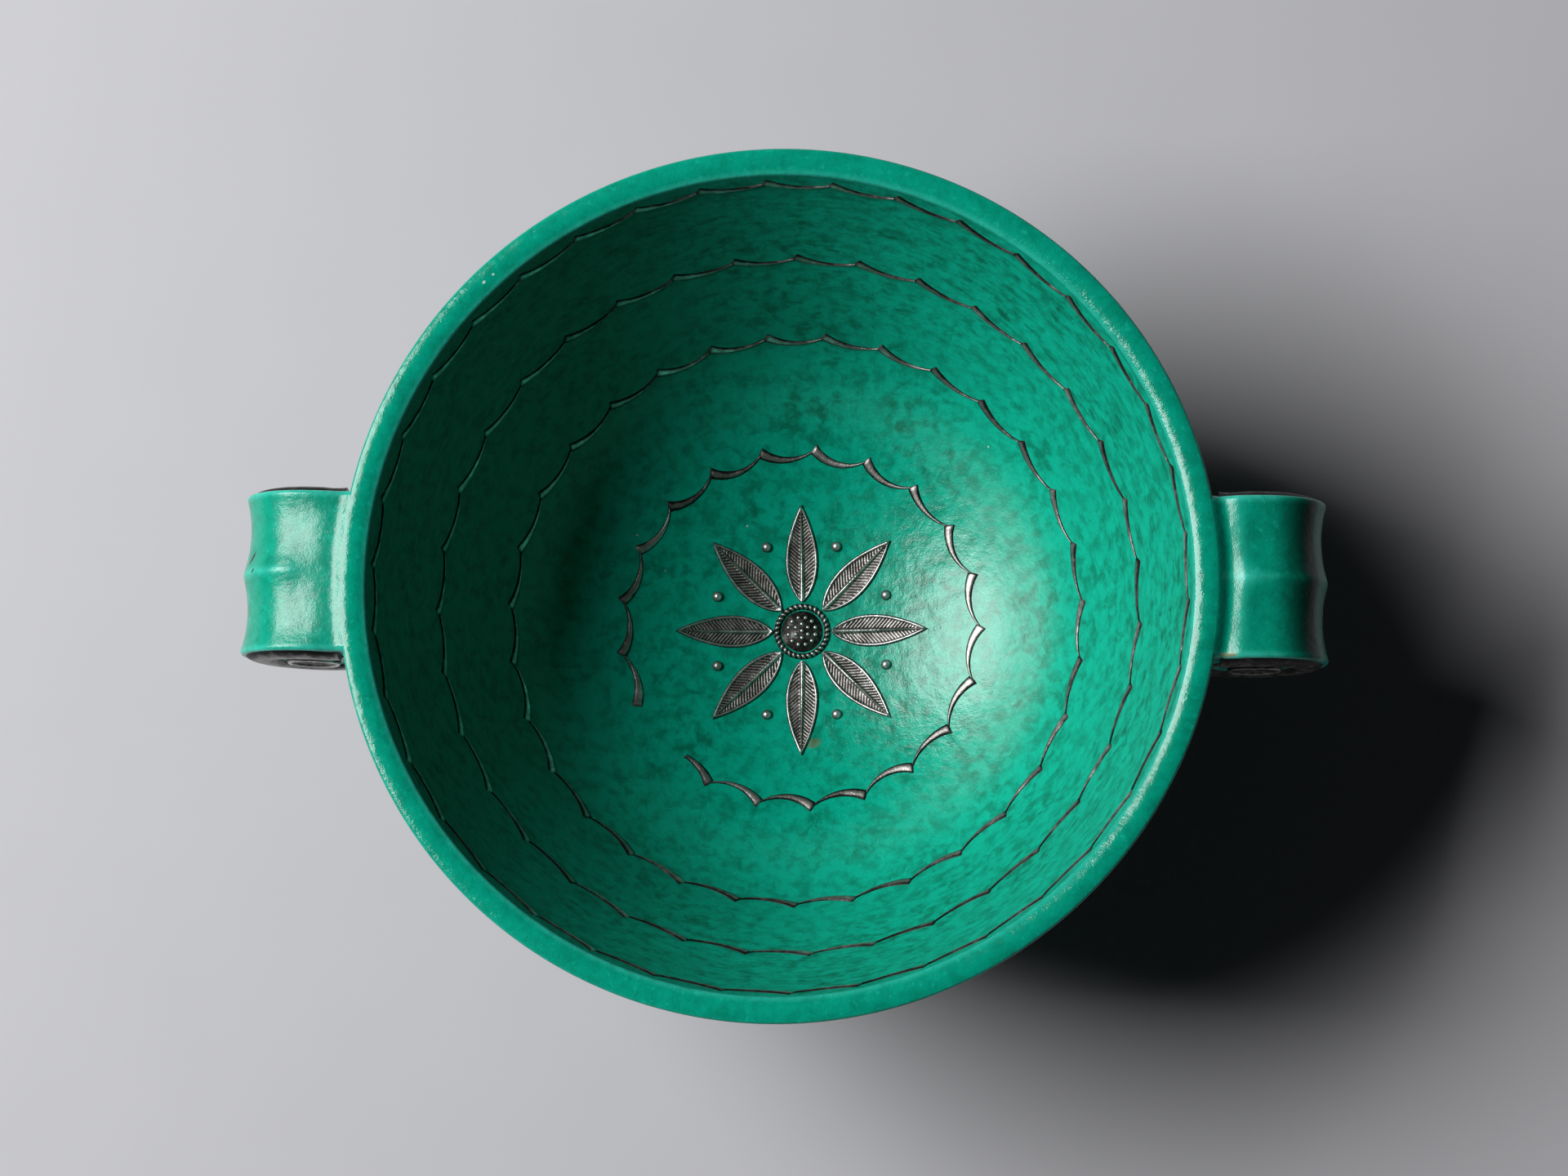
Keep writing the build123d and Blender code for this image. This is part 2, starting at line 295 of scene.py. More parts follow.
# the crest and the radius of the dome, the directions in which it ends, and the edges beside it
lip_crest = 0.0976
lip_dome = 0.007
dome_start = 117
dome_end = 75.1
inner_edge = 0.00107
outer_edge = 0.000795
wall_curve = 0.255
corner_curve = 0.03
floor_curve = 0.121
floor_thickness = 0.0077
foot_radius = 0.043
foot_width = 0.0065
foot_recess = 0.005
foot_round = 0.0015
foot_fillet = 0.003
lean = radians(90 - 77.3)
lip_middle = Vector(
    (
        rim_radius - outer_round * (1 - sin(lean)) - (lip_thickness / 2 - outer_round) * cos(lean),
        bowl_height - inner_round * (1 - cos(lean)) - (lip_thickness / 2 - inner_round) * sin(lean),
    )
)
wall_arm = wall_curve + lip_thickness / 2
wall_middle = lip_middle + wall_arm * Vector((-cos(lean), sin(lean)))
floor_middle = Vector((0, foot_recess + floor_thickness + floor_curve))


def corner_middle(out_wall, out_floor):
    """Centre of the corner that joins the two big circles, both moved outwards."""
    meets = intersect_sphere_sphere_2d(
        wall_middle,
        wall_curve - corner_curve,
        floor_middle,
        floor_curve + out_floor - corner_curve - out_wall,
    )
    return min(meets, key=lambda point: point[1])


def on_circle(middle, radius, turn):
    """The point of a circle that lies in a direction, in degrees."""
    return middle + radius * Vector((cos(radians(turn)), sin(radians(turn))))


def arc(middle, radius, start, end, steps):
    """Points on a circle from one direction to another, in degrees."""
    share = (end - start) / steps
    return [on_circle(middle, radius, start + share * step) for step in range(steps + 1)]


def heading(start, end):
    return degrees(atan2(end[1] - start[1], end[0] - start[0]))


inner_corner = corner_middle(0, 0)
outer_corner = corner_middle(lip_thickness, floor_thickness)
corner_start = heading(floor_middle, inner_corner)
corner_end = heading(wall_middle, inner_corner)
outer_start = heading(floor_middle, outer_corner)
outer_end = heading(wall_middle, outer_corner)
lip_angle = -degrees(lean)
outer_wall = wall_curve + lip_thickness
inner_turn = degrees(asin(inner_round / (wall_curve + inner_round)))
outer_turn = degrees(asin(outer_round / (outer_wall - outer_round)))
dome_middle = Vector((lip_crest, bowl_height - lip_dome))
under_curve = floor_curve + floor_thickness
fillet_level = floor_middle[1] - sqrt(
    (under_curve + foot_fillet) ** 2 - (foot_radius + foot_fillet) ** 2
)
fillet_point = Vector((foot_radius + foot_fillet, fillet_level))
under_turn = heading(floor_middle, fillet_point)
foot_inner = foot_radius - foot_width
recess_turn = degrees(asin(foot_inner / under_curve))

inner_profile = (
    arc(floor_middle, floor_curve, -90, corner_start, 40)
    + arc(inner_corner, corner_curve, corner_start, corner_end, 14)[1:]
    + arc(wall_middle, wall_curve, corner_end, lip_angle - inner_turn, 28)[1:]
)
inner_edge_middle = on_circle(dome_middle, lip_dome - inner_edge, dome_start)
outer_edge_middle = on_circle(dome_middle, lip_dome - outer_edge, dome_end)
lip_profile = (
    arc(inner_edge_middle, inner_edge, lip_angle + 180, dome_start, 6)
    + arc(dome_middle, lip_dome, dome_start, dome_end, 14)[1:]
    + arc(outer_edge_middle, outer_edge, dome_end, lip_angle, 8)[1:]
)
outer_profile = (
    arc(wall_middle, outer_wall, lip_angle - outer_turn, outer_end, 28)[1:]
    + arc(outer_corner, corner_curve + lip_thickness, outer_end, outer_start, 14)[1:]
    + arc(floor_middle, under_curve, outer_start, under_turn, 12)[1:]
    + arc(fillet_point, foot_fillet, under_turn + 180, 180, 6)[1:]
)
foot_profile = (
    arc(Vector((foot_radius - foot_round, foot_round)), foot_round, 0, -90, 6)
    + arc(Vector((foot_inner + foot_round, foot_round)), foot_round, -90, -180, 6)
    + arc(floor_middle, under_curve, -90 + recess_turn, -90, 16)
)


def fade(distance, reach):
    """One at no distance, falling evenly to zero at the reach."""
    return max(0, 1 - distance / reach)


def grow(value, start, reach):
    """Zero up to the start, rising evenly to one over the reach."""
    return min(1, max(0, (value - start) / reach))


def turn_round(mesh_data, line, steps, gap):
    """The skin that a row of vertices sweeps once round the axis."""
    bmesh.ops.spin(
        mesh_data,
        geom=line + [mesh_data.edges.new(pair) for pair in zip(line, line[1:])],
        axis=(0, 0, 1),
        cent=(0, 0, 0),
        angle=2 * pi,
        steps=steps,
        use_merge=True,
    )
    bmesh.ops.remove_doubles(mesh_data, verts=mesh_data.verts, dist=gap)


def piece_from(name, mesh_data, material, smooth_angle=35):
    """An object from a bmesh, with outward normals, that rides on the frame."""
    bmesh.ops.recalc_face_normals(mesh_data, faces=mesh_data.faces)
    mesh = bpy.data.meshes.new(name)
    mesh_data.to_mesh(mesh)
    mesh_data.free()
    mesh.shade_smooth()
    mesh.set_sharp_from_angle(angle=radians(smooth_angle))
    mesh.materials.append(material)
    piece = bpy.data.objects.new(name, mesh)
    bpy.context.scene.collection.objects.link(piece)
    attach(piece, "root")
    return piece


bowl_mesh = bmesh.new()
break_layer = bowl_mesh.verts.layers.float.new("glaze_break_and_light")
bowl_line = []
profile = inner_profile + lip_profile + outer_profile + foot_profile
lip_start = len(inner_profile)
lip_end = lip_start + len(lip_profile)
foot_start = lip_end + len(outer_profile)
# how far the glaze is thin down the inner wall, down the outer wall and up from the foot
inner_break = 0.0016
outer_break = 0.0022
foot_break = 0.004
for spot, (radius, level) in enumerate(profile):
    vert = bowl_mesh.verts.new((max(radius, 0), 0, level))
    if spot < lip_start:
        vert[break_layer] = 0.2 * fade(lip_middle[1] - level, inner_break)
    elif spot < lip_end:
        across = abs(radius - lip_middle[0]) / lip_thickness
        vert[break_layer] = 0.45 * grow(across, 0.32, 0.2)
    elif spot < foot_start:
        vert[break_layer] = 0.5 * fade(lip_middle[1] - level, outer_break)
    else:
        vert[break_layer] = fade(level, foot_break)
    bowl_line.append(vert)
turn_round(bowl_mesh, bowl_line, 240, 1e-6)
bowl = piece_from("thrown_bowl", bowl_mesh, green_glaze)
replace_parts(bowl, "bowl")

# Handles
# Each is a thick strap of clay with two flutes drawn along it, rolled into a scroll and luted to
# the wall under the lip. The slip that holds it was smoothed into a shallow valley.
half_strap = 0.0185
edge_round = 0.0012
flute_depth = 0.0015
flute_start = 0.1022
flute_rise = 0.0085
# above these levels the flutes and the ridge rise from the root; below them they are in full
flutes_above = 0.095
ridge_above = 0.09
# how far the glaze is thin, in from the strap's edge and out from its ridge
edge_break = 0.0019
ridge_break = 0.0016
# on the right handle: thin glaze and a painted highlight at the ridge start, a painted highlight
# on a line before it, and painted shade on the outer roll
painted_light_above = 0.0955
lit_wedge_place = 0.1062
lit_wedge_reach = 0.003
highlight_line_place = 0.1048
highlight_line_reach = 0.0022
painted_shade_start = 0.112
painted_shade_reach = 0.009
# degrees by which the left handle stands off the line of the right one
left_turn = -1.9
# radius of the lip where the handle's skin leaves it, and the reach over which its curve is lost
lip_bend = 0.0993
bend_start = 0.103
bend_reach = 0.009
# from the lip to the roll: distance out, level on the right handle and level on the left handle
root_top = [
    (0.0979, 0.1038, 0.1038),
    (0.0986, 0.10385, 0.10385),
    (0.099, 0.10383, 0.10383),
    (0.0993, 0.1038, 0.1038),
    (0.0997, 0.10362, 0.10366),
    (0.1001, 0.10336, 0.1035),
    (0.1006, 0.103, 0.1033),
    (0.1011, 0.10262, 0.10312),
    (0.1016, 0.1023, 0.10299),
    (0.1021, 0.10212, 0.10294),
    (0.1026, 0.10212, 0.10293),
    (0.1031, 0.10228, 0.10296),
    (0.1037, 0.10254, 0.10302),
    (0.1044, 0.10286, 0.10311),
    (0.1051, 0.10316, 0.10322),
    (0.1058, 0.10336, 0.10333),
    (0.1066, 0.10347, 0.10343),
    (0.1078, 0.1035, 0.1035),
]
# radius of the roll and the slope in degrees where that radius ends, from the crest outwards
roll_curves = [
    (0.0184, 0, 20),
    (0.0169, 20, 50),
    (0.0156, 50, 90),
    (0.0184, 90, 180),
    (0.0175, 180, 225),
]
root_under = [(0.0934, 0.0745), (0.0926, 0.0741), (0.0917, 0.0732), (0.0902, 0.0733)]
roll_side = [Vector((reach, level)) for reach, level, _ in root_top]
for radius, start, end in roll_curves:
    turn_steps = max(2, int((end - start) / 5))
    for step in range(turn_steps):
        first = radians(start + (end - start) * step / turn_steps)
        last = radians(start + (end - start) * (step + 1) / turn_steps)
        move = radius * Vector((sin(last) - sin(first), cos(last) - cos(first)))
        roll_side.append(roll_side[-1] + move)
roll_side += [Vector(point) for point in root_under]
roll_normals = []
for spot, point in enumerate(roll_side):
    along = roll_side[(spot + 1) % len(roll_side)] - roll_side[spot - 1]
    roll_normals.append(Vector((-along[1], along[0])).normalized())

# places across the strap in millimetres, closest at the ridge in the middle and at the edge
near_ridge = (0, 0.4, 0.8, 1.2, 1.8, 2.5, 3.3, 4.2, 5.2)
near_edge = (6.3, 7.4, 8.5, 9.6, 10.7, 11.8, 12.9, 14, 15, 16, 16.7, 17.3)
strap_columns = [(across / 1000, 0) for across in near_ridge + near_edge]
for step in range(1, 6):
    turn = radians(90 * step / 5)
    strap_columns.append(
        (half_strap - edge_round * (1 - sin(turn)), edge_round * (1 - cos(turn)))
    )
strap_columns = [(-across, inset) for across, inset in strap_columns[:0:-1]] + strap_columns


def flute(across):
    """How deep the flutes are there; the ridge between them is rounded."""
    from_edge = (sqrt(across**2 + 0.0005**2) - half_strap / 2) / (half_strap / 2)
    return flute_depth * max(0, 1 - from_edge**2)


def set_left(mesh_data, side):
    """The left handle and its silver stand a little off the line of the right ones."""
    if side < 0:
        turn = Matrix.Rotation(radians(left_turn), 3, "Z")
        bmesh.ops.rotate(mesh_data, cent=(0, 0, 0), matrix=turn, verts=mesh_data.verts)


def smooth(share):
    return share**2 * (3 - 2 * share)


def lay_faces(mesh_data, grid):
    """Faces between the rows of a grid of vertices."""
    for left, right in zip(grid, grid[1:]):
        for spot in range(len(left) - 1):
            mesh_data.faces.new((left[spot], left[spot + 1], right[spot + 1], right[spot]))


def build_handle(name, side, ridge_start, ridge_end):
    """A handle on the side +1 or -1, whose ridge rises between two distances from the axis.

    Its skin follows the curve of the lip near the wall. The glaze is thin along its edges and its
    ridge; on the right handle the root carries a painted highlight and the outer roll painted
    shade.
    """
    mesh_data = bmesh.new()
    layer = mesh_data.verts.layers.float.new("glaze_break_and_light")
    grid = []
    for across, inset in strap_columns:
        row = []
        for number, (point, normal) in enumerate(zip(roll_side, roll_normals)):
            if side < 0 and number < len(root_top):
                point = Vector((point[0], root_top[number][2]))
            reach, level = point
            bend = sqrt(lip_bend**2 - across**2) - lip_bend
            shift = bend * smooth(1 - grow(reach, bend_start, bend_reach))
            fluted = smooth(grow(reach, flute_start, flute_rise)) if level > flutes_above else 1
            ridge = grow(reach, ridge_start, ridge_end - ridge_start) if level > ridge_above else 1
            deep = flute(across)
            if abs(across) < half_strap / 2:
                deep = flute_depth + (deep - flute_depth) * ridge
            spot = point - normal * (inset + deep * fluted)
            vert = mesh_data.verts.new((side * (spot[0] + shift), across, spot[1]))
            thin_glaze_and_light = 0.8 * fade(half_strap - abs(across), edge_break)
            thin_glaze_and_light += (0.5 if side < 0 else 0.3) * ridge * fade(abs(across), ridge_break)
            # painted highlight on the rise of the right handle's root, where the lamp is mirrored
            if side > 0 and level > painted_light_above:
                lit_wedge = fade(abs(across), lit_wedge_reach) * fade(abs(reach - lit_wedge_place), lit_wedge_reach)
                thin_glaze_and_light += 0.45 * lit_wedge + 0.2 * fade(abs(reach - highlight_line_place), highlight_line_reach)
                # painted shade on the outer roll, which faces away from the lamp
                thin_glaze_and_light -= 0.97 * grow(reach, painted_shade_start, painted_shade_reach)
            vert[layer] = max(-1, min(1, thin_glaze_and_light))
            row.append(vert)
        grid.append(row)
    lay_faces(mesh_data, [row + row[:1] for row in grid])
    mesh_data.faces.new(grid[0])
    mesh_data.faces.new(grid[-1])
    set_left(mesh_data, side)
    handle = piece_from(name, mesh_data, green_glaze, 50)
    return handle


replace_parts(build_handle("scroll_handle_right", 1, 0.1, 0.1005), "handle_right")
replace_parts(build_handle("scroll_handle_left", -1, 0.1055, 0.114), "handle_left")

# Silver
# Thin silver fired and rubbed over the glaze: grey and satin on the high places, brown and nearly
# black in every line and along every edge, where it has tarnished.
tarnish = new_group("tarnished_silver", ["Wear_and_shade"], ["Color", "Roughness", "Height"])
tarnish_in = add_node(tarnish, "NodeGroupInput")
silver_place = add_node(tarnish, "ShaderNodeTexCoord").outputs["Object"]
cloudy = noise(tarnish, silver_place, 420, 3, 0.65)
rubbed = compute(
    tarnish,
    "ADD",
    compute(tarnish, "MULTIPLY", tarnish_in.outputs["Wear_and_shade"], 0.85),
    compute(tarnish, "MULTIPLY_ADD", cloudy, 0.9, -0.42),
)
silver_color = mix(
    tarnish,
    soft_step(tarnish, rubbed, 0.1, 0.55),
    (0.02, 0.019, 0.018, 1),
    (0.3, 0.285, 0.265, 1),
)
high_places = soft_step(tarnish, rubbed, 0.55, 0.95)
silver_color = mix(tarnish, high_places, silver_color, (0.8, 0.81, 0.81, 1))
add_node(
    tarnish,
    "NodeGroupOutput",
    {
        "Color": silver_color,
        "Roughness": compute(tarnish, "MULTIPLY_ADD", rubbed, -0.2, 0.52),
        "Height": noise(tarnish, silver_place, 1800, 3, 0.6),
    },
)
worn_silver = [tarnish, {"Wear_and_shade": "wear"}, {"Metallic": 0.85}]
ring_silver = group_material("ring_silver", *worn_silver, 0.00008)
rosette_silver = group_material("rosette_silver", *worn_silver, 0.00006)
scroll_silver = group_material("scroll_silver", *worn_silver, 0.00006)

# Scalloped rings
# Four borders of short strokes laid along the wall by hand. Each stroke has a thick blunt head and
# thins to a tail that ends at the heel of the next head; on the floor ring one has worn away.
face_lengths = [0]
for first, second in zip(inner_profile, inner_profile[1:]):
    face_lengths.append(face_lengths[-1] + (second - first).length)


def face_place(distance):
    """Point and direction on the inner face that far from the middle of the floor."""
    spot = min(bisect(face_lengths, distance), len(inner_profile) - 1)
    start, end = inner_profile[spot - 1], inner_profile[spot]
    share = (distance - face_lengths[spot - 1]) / (face_lengths[spot] - face_lengths[spot - 1])
    return start.lerp(end, share), (end - start).normalized()


def on_face(point, height):
    """The point of the inner face nearest to a point, raised off it by a height."""
    flat = Vector((hypot(point[0], point[1]), point[2]))
    from_corner = heading(inner_corner, flat)
    if from_corner < corner_start:
        middle, radius = floor_middle, floor_curve
    elif from_corner > corner_end:
        middle, radius = wall_middle, wall_curve
    else:
        middle, radius = inner_corner, corner_curve
    outward = (flat - middle).normalized()
    found = middle + outward * (radius - height)
    scale = found[0] / flat[0]
    return Vector((point[0] * scale, point[1] * scale, found[1]))


def through(first, middle, last, steps):
    """Points of the circular arc that runs through three points."""
    a, b, c = Vector(first), Vector(middle), Vector(last)
    cross = 2 * ((b - a).cross(c - a))
    to_b, to_c = (b - a).length_squared, (c - a).length_squared
    centre = a + Vector(
        (
            (c - a)[1] * to_b - (b - a)[1] * to_c,
            (b - a)[0] * to_c - (c - a)[0] * to_b,
        )
    ) / cross
    start, end = heading(centre, a), heading(centre, c)
    while end - start > 180:
        end -= 360
    while start - end > 180:
        end += 360
    return arc(centre, (a - centre).length, start, end, steps)


# how far each ring lies from the middle of the floor, along the face; then the name, the number of
# strokes, the turn in degrees and the strokes that have worn away
ring_places = (0.0468, 0.0776, 0.109, 0.1434)
ring_table = [
    ("floor", 21, -0.9, [13]),
    ("lower", 31, 2.7, []),
    ("upper", 35, -4.1, []),
    ("lip", 38, -3.0, []),
]
# every edge of the silver ends a little under the face of the glaze
sunk = -0.0002
# across a stroke: share of its width, height over the glaze and wear
stroke_section = [
    (-0.02, sunk, 0.0),
    (0.0, 0.00006, 0.0),
    (0.14, 0.00026, 0.2),
    (0.3, 0.00036, 0.6),
    (0.5, 0.0004, 0.78),
    (0.7, 0.00036, 0.6),
    (0.86, 0.00026, 0.2),
    (1.0, 0.00006, 0.0),
    (1.02, sunk, 0.0),
]
stroke_steps = 30
heel_lean = Vector((-0.0015, -0.0024))
belly_drop = 0.0031
belly_rise = 0.0001
belly_width = 0.0014
tail_width = 0.0005
tail_reach = 0.0007
# beside the gap in the floor ring a stroke has lost its end
short_stroke = 14
short_steps = 22
hand = random.Random(11)
for step, (name, count, turn, worn) in enumerate(ring_table):
    foot, slope = face_place(ring_places[step])
    half_turn = radians(180 / count)
    half_span = foot[0] * sin(half_turn)
    crest = -foot[0] * (1 - cos(half_turn)) * slope[0]
    swing = half_turn * slope[0]
    head = Vector((-half_span, crest))
    heel = head + Matrix.Rotation(swing, 2) @ heel_lean
    tail = Vector((half_span, crest)) + Matrix.Rotation(-swing, 2) @ heel_lean
    tail += Vector((tail_reach, 0))
    belly = Vector(((head[0] + tail[0]) / 2, crest - belly_drop))
    ring_mesh = bmesh.new()
    wear_layer = ring_mesh.verts.layers.float.new("wear")
    for number in range(count):
        if number in worn:
            continue
        slack = hand.uniform(-0.00025, 0.00025)
        stout = hand.uniform(-0.00015, 0.0002)
        bright = hand.uniform(-0.18, 0.18)
        upper_belly = belly + Vector((0, slack + belly_rise))
        upper = through(head, upper_belly, tail + Vector((0, tail_width)), stroke_steps)
        low_belly = belly - Vector((belly_width, belly_width + stout - slack))
        lower = through(heel, low_belly, tail, stroke_steps)
        if name == "floor" and number == short_stroke:
            upper, lower = upper[:short_steps], lower[:short_steps]
        spin = Matrix.Rotation(radians(turn) + (2 * number - 1) * half_turn, 3, "Z")
        grid = []
        for place_number, (top, bottom) in enumerate(zip(upper, lower)):
            end = min(1, place_number / 2)
            row = []
            for share, height, wear in stroke_section:
                flat = top.lerp(bottom, share)
                on_slope = foot + flat[1] * slope
                point = Vector((on_slope[0], -flat[0], on_slope[1]))
                lift = height if place_number else sunk
                lift = lift * (0.55 + 0.45 * end) if lift > 0 else lift
                vert = ring_mesh.verts.new(spin @ on_face(point, lift))
                thin_down = 1 - 0.35 * place_number / stroke_steps
                vert[wear_layer] = max(0, wear * end * thin_down + bright * (wear > 0))
                row.append(vert)
            grid.append(row)
        lay_faces(ring_mesh, grid)
        ring_mesh.faces.new(grid[0])
        ring_mesh.faces.new(grid[-1])
        for row_a, row_b in zip(grid, grid[1:]):
            ring_mesh.faces.new((row_a[0], row_b[0], row_b[-1], row_a[-1]))
    ring = piece_from(f"silver_strokes_{name}", ring_mesh, ring_silver, 60)
    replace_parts(ring, f"scallop_ring_{name}")

# Rosette leaves
# Eight chased leaves of thicker silver round the middle of the floor, each with a raised edge, a
# raised rib and fine hatching cut on both sides of the rib.
floor_level = foot_recess + floor_thickness


def floor_height(point):
    return floor_middle[1] - sqrt(floor_curve**2 - point[0] ** 2 - point[1] ** 2)


leaf_mesh = bmesh.new()
wear_layer = leaf_mesh.verts.layers.float.new("wear")
leaf_start = 0.0072
leaf_end = 0.031
leaf_half = 0.004
leaf_rise = 0.00042
leaf_edge_rise = 0.0003
border_inset = 0.00045
border_half = 0.0004
border_rise = 0.0002
rib_half = 0.0008
rib_rise = 0.00048
hatch_inset = 0.0007
hatch_fade = 0.0003
hatch_step = 0.00092
hatch_depth = 0.00016
long_steps = 118
wide_steps = 36
for number in range(8):
    spin = Matrix.Rotation(radians(45 * number), 3, "Z")
    grid = []
    for long_step in range(long_steps + 1):
        share = long_step / long_steps
        half_width = leaf_half * max(0.02, sin(pi * share**0.8)) ** 0.85
        row = []
        for wide_step in range(-1, wide_steps + 2):
            side = max(-1, min(1, 2 * wide_step / wide_steps - 1))
            skirt = wide_step in (-1, wide_steps + 1) or long_step in (0, long_steps)
            across = side * half_width
            along = leaf_start + (leaf_end - leaf_start) * share
            from_edge = half_width - abs(across)
            border = fade(abs(from_edge - border_inset), border_half)
            rib = fade(abs(across), rib_half * (1 - 0.8 * share))
            hatched = 0.5 + 0.5 * sin((along - abs(across) * 0.9) / hatch_step * 2 * pi)
            clear = grow(from_edge, hatch_inset, hatch_fade) * (1 - rib)
            height = leaf_rise + border_rise * border + rib_rise * rib**0.7
            height -= hatch_depth * clear * (1 - hatched)
            if skirt:
                height = sunk
            elif from_edge < 0.0001:
                height = leaf_edge_rise
            point = spin @ Vector((along, across, 0))
            vert = leaf_mesh.verts.new((point[0], point[1], floor_height(point) + height))
            wear = max(0.95 * border, 0.9 * rib, 0.75 * clear * hatched**2)
            vert[wear_layer] = 0 if skirt else wear + 0.08
            row.append(vert)
        grid.append(row)
    lay_faces(leaf_mesh, grid)
leaves = piece_from("chased_leaves", leaf_mesh, rosette_silver, 80)
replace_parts(leaves, "rosette_leaves")

# Rosette beads, collar and boss
# Round grains of silver between the leaves, a twisted ring, and a low dome set with small grains.
bead_mesh = bmesh.new()
wear_layer = bead_mesh.verts.layers.float.new("wear")


def add_grain(mesh_data, layer, middle, radius, rings=6, turns=20):
    """A round grain, half sunk in what it sits on."""
    made = bmesh.ops.create_uvsphere(
        mesh_data,
        u_segments=turns,
        v_segments=2 * rings,
        radius=radius,
        matrix=Matrix.Translation(middle),
    )
    for vert in made["verts"]:
        vert[layer] = max(0, (vert.co[2] - middle[2]) / radius)


bead_reach = 0.0225
bead_radius = 0.0013
for number in range(8):
    turn = radians(45 * number + 22.5)
    point = Vector((bead_reach * cos(turn), bead_reach * sin(turn), 0))
    add_grain(bead_mesh, wear_layer, point + Vector((0, 0, floor_height(point))), bead_radius)
beads = piece_from("silver_beads", bead_mesh, rosette_silver)
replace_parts(beads, "rosette_beads")

collar_mesh = bmesh.new()
wear_layer = collar_mesh.verts.layers.float.new("wear")
collar_grid = []
collar_steps = 288
collar_radius = 0.0062
collar_half = 0.0008
collar_rise = 0.00105
collar_sink = 0.0001
twist_rise = 0.0003
twists = 32
for step in range(collar_steps):
    turn = 2 * pi * step / collar_steps
    row = []
    for spot in range(13):
        across = pi * spot / 12
        twist = 0.5 + 0.5 * sin(twists * turn + 1.6 * cos(across))
        radius = collar_radius - collar_half * cos(across)
        level = floor_level - collar_sink + (collar_rise + twist_rise * twist) * sin(across)
        vert = collar_mesh.verts.new((radius * cos(turn), radius * sin(turn), level))
        vert[wear_layer] = sin(across) * twist
        row.append(vert)
    collar_grid.append(row)
lay_faces(collar_mesh, collar_grid + collar_grid[:1])
collar = piece_from("twisted_collar", collar_mesh, rosette_silver, 80)
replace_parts(collar, "rosette_collar")

boss_mesh = bmesh.new()
wear_layer = boss_mesh.verts.layers.float.new("wear")
boss_radius = 0.0053
boss_rise = 0.0016
boss_curve = (boss_radius**2 + boss_rise**2) / (2 * boss_rise)


def boss_height(reach):
    return floor_level + boss_rise - boss_curve + sqrt(boss_curve**2 - reach**2)


boss_line = []
for step in range(11):
    reach = boss_radius * step / 10
    boss_line.append(boss_mesh.verts.new((reach, 0, boss_height(reach))))
boss_line.append(boss_mesh.verts.new((boss_radius, 0, floor_level - 0.0003)))
turn_round(boss_mesh, boss_line, 64, 1e-7)
for vert in boss_mesh.verts:
    vert[wear_layer] = 0.15
# rings of grains: distance from the middle and how many
for reach, number in ((0, 1), (0.0017, 6), (0.0034, 12)):
    for spot in range(number):
        turn = 2 * pi * (spot + 0.5) / number
        middle = Vector((reach * cos(turn), reach * sin(turn), boss_height(reach)))
        add_grain(boss_mesh, wear_layer, middle, 0.0006, 5, 12)
boss = piece_from("grained_boss", boss_mesh, rosette_silver)
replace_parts(boss, "rosette_boss")

# Silver on the sides of the scrolls
# A rounded band of silver follows the edge of the strap from the wall round the roll and winds in
# to a dished eye with a raised rim and fine lines struck outwards from its middle.
roll_middle = Vector((0.1079, 0.0856))
side_line = [point - normal * edge_round for point, normal in zip(roll_side, roll_normals)]
inside_lip = 6
side_line = [point for point in side_line[inside_lip:] if point[0] > 0.0935]
side_arms = [point - roll_middle for point in side_line]
side_polar = sorted(
    (atan2(arm[0], arm[1]) % (2 * pi), arm.length) for arm in side_arms if arm[0] > 0 or arm[1] < 0
)


def side_radius(turn):
    """Distance from the middle of the roll to the edge of its flat side."""
    turn = radians(turn)
    spot = min(max(bisect(side_polar, (turn, 0)), 1), len(side_polar) - 1)
    (before, low), (after, high) = side_polar[spot - 1], side_polar[spot]
    share = min(1, max(0, (turn - before) / (after - before)))
    return low + (high - low) * share


coil_pairs = []
top_line = [point for point in side_line if point[1] > 0.09 and point[0] < roll_middle[0]]
edge_gap = 0.0002
band_bottom = 0.0087
band_width = 0.0072
band_rise = 0.0012
for point in top_line:
    coil_pairs.append((point - Vector((0, edge_gap)), point - Vector((0, band_bottom))))
# clock angle in degrees, and where the band's outer and inner edges lie on the way to the rim
coil_table = [
    (0, 1.0, 0.48),
    (45, 1.0, 0.5),
    (90, 1.0, 0.53),
    (135, 1.0, 0.56),
    (180, 0.99, 0.58),
    (225, 0.95, 0.59),
    (270, 0.86, 0.58),
    (300, 0.74, 0.55),
    (330, 0.54, 0.5),
]
for (turn, outer, inner), (next_turn, next_outer, next_inner) in zip(coil_table, coil_table[1:]):
    for step in range(8):
        share = step / 8
        here = turn + (next_turn - turn) * share
        reach = side_radius(here) - edge_gap
        edge = Vector((sin(radians(here)), cos(radians(here))))
        coil_pairs.append(
            (
                roll_middle + edge * reach * (outer + (next_outer - outer) * share),
                roll_middle + edge * reach * (inner + (next_inner - inner) * share),
            )
        )


